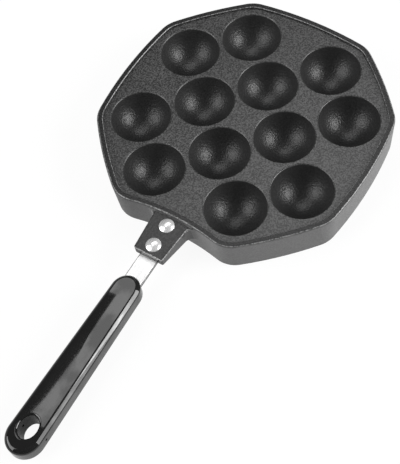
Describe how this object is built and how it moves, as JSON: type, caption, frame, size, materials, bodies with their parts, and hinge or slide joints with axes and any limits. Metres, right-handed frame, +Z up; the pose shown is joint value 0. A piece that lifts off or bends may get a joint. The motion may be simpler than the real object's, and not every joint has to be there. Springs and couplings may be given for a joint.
{
  "type": "takoyaki pan",
  "caption": "Hand-held cast pan, a bowed octagon in plan, with round hollows for baking batter balls and a raised rim; a riveted steel strap carries a long moulded grip with a hanging eye",
  "frame": {"origin": "middle of the pan on the plane that its rim stands on", "axes": "+Z up out of the hollows, the handle points along -Y, +X to the right seen from the handle's end"},
  "size_m": [0.1802, 0.3449, 0.0257],
  "materials": {
    "coated_casting": "dark grey non-stick coat, satin, with a fine speckle",
    "polished_strap": "polished bright",
    "rivets": "polished bright",
    "grip": "glossy black moulding"
  },
  "bodies": {
    "root": {"pan_casting": "coated_casting", "handle_strap": "polished_strap", "front_rivet": "rivets", "rear_rivet": "rivets", "handle_grip": "grip"}
  },
  "joints": []
}
